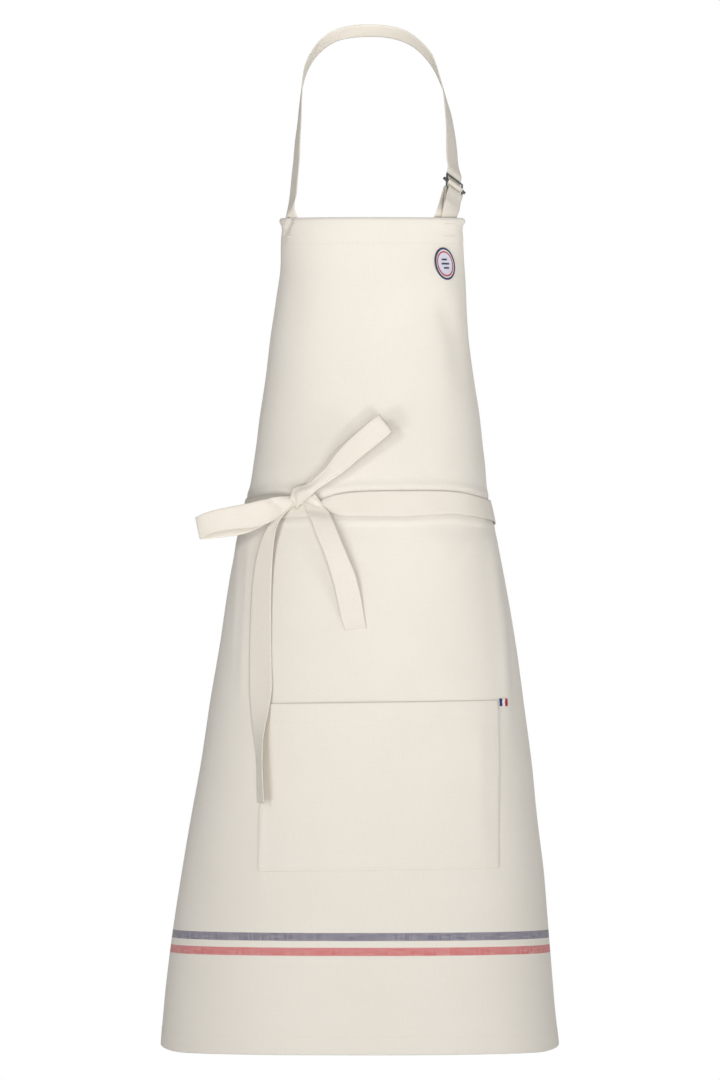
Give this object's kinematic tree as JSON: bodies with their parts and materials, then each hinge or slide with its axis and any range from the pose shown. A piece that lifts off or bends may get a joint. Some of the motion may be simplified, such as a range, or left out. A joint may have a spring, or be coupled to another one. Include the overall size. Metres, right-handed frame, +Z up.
{
  "type": "bib apron",
  "caption": "Bib apron in cream canvas, hung by its neck strap, with buckle, front pocket, woven hem stripes and waist ties in a bow.",
  "frame": {"origin": "underside of the crown of the neck strap's loop, the point that hangs on a hook", "axes": "+Z up along the hanging apron, the front faces -Y, +X is to the right of someone facing the front"},
  "size_m": [0.4324, 0.2648, 1.1104],
  "materials": {
    "canvas": "plain weave cotton canvas, ecru",
    "tape": "folded and edge-stitched cotton tape, ecru",
    "thread": "satin sewing thread",
    "label": "woven tab with navy, white and red bands",
    "badge": null,
    "badge_rim": "overlocked navy rim",
    "buckle_metal": "dark nickel, satin"
  },
  "bodies": {
    "neck_loop": {"neck_strap": "tape", "buckle_frame": "buckle_metal", "buckle_tab": "tape"},
    "buckle_bar": {"buckle_bar": "buckle_metal"},
    "strap_free_end": {"strap_free_end": "tape"},
    "apron": {"apron_panel": "canvas", "front_pocket": "canvas", "pocket_label": "label", "pocket_bartacks": "thread", "badge_patch": "badge", "badge_rim": "badge_rim", "strap_sewn_end": "tape", "tab_sewn_end": "tape", "strap_bartacks": "thread", "waist_tie_a": "tape", "waist_tie_b": "tape", "tie_bartacks": "thread", "bow_knot": "tape"},
    "bow_loop_upper": {"bow_loop_upper": "tape"},
    "bow_loop_left": {"bow_loop_left": "tape"},
    "tie_end_long": {"tie_end_long": "tape"},
    "tie_end_short": {"tie_end_short": "tape"}
  },
  "joints": [
    {"name": "apron_swing", "type": "hinge", "parent": "neck_loop", "child": "apron", "pos_m": [-0.0008, -0.1071, -0.1955], "axis": [-0.9984, 0.0571, 0], "range_deg": [0, 30]},
    {"name": "buckle_bar_turn", "type": "hinge", "parent": "neck_loop", "child": "buckle_bar", "pos_m": [0.0903, -0.08753, -0.1612], "axis": [0.591, 0.691, -0.4163], "continuous": true},
    {"name": "strap_free_end_slide", "type": "slide", "parent": "neck_loop", "child": "strap_free_end", "axis": [-0.0499, 0.02, -0.9986], "range_m": [0, 0.06]},
    {"name": "upper_loop_bend", "type": "hinge", "parent": "apron", "child": "bow_loop_upper", "pos_m": [-0.061, -0.1667, -0.487], "axis": [0.6309, 0, -0.7759], "range_deg": [-8, 25], "stiffness_Nm_per_rad": 0.02},
    {"name": "left_loop_bend", "type": "hinge", "parent": "apron", "child": "bow_loop_left", "pos_m": [-0.0915, -0.1647, -0.5015], "axis": [-0.2976, 0, 0.9547], "range_deg": [-5, 25], "stiffness_Nm_per_rad": 0.02},
    {"name": "long_end_swing", "type": "hinge", "parent": "apron", "child": "tie_end_long", "pos_m": [-0.10434, -0.14237, -0.5125], "axis": [-0.8117, 0.5841, 0], "range_deg": [0, 35]},
    {"name": "short_end_swing", "type": "hinge", "parent": "apron", "child": "tie_end_short", "pos_m": [-0.05843, -0.16252, -0.5125], "axis": [-0.9724, 0.2332, 0], "range_deg": [0, 40]}
  ]
}
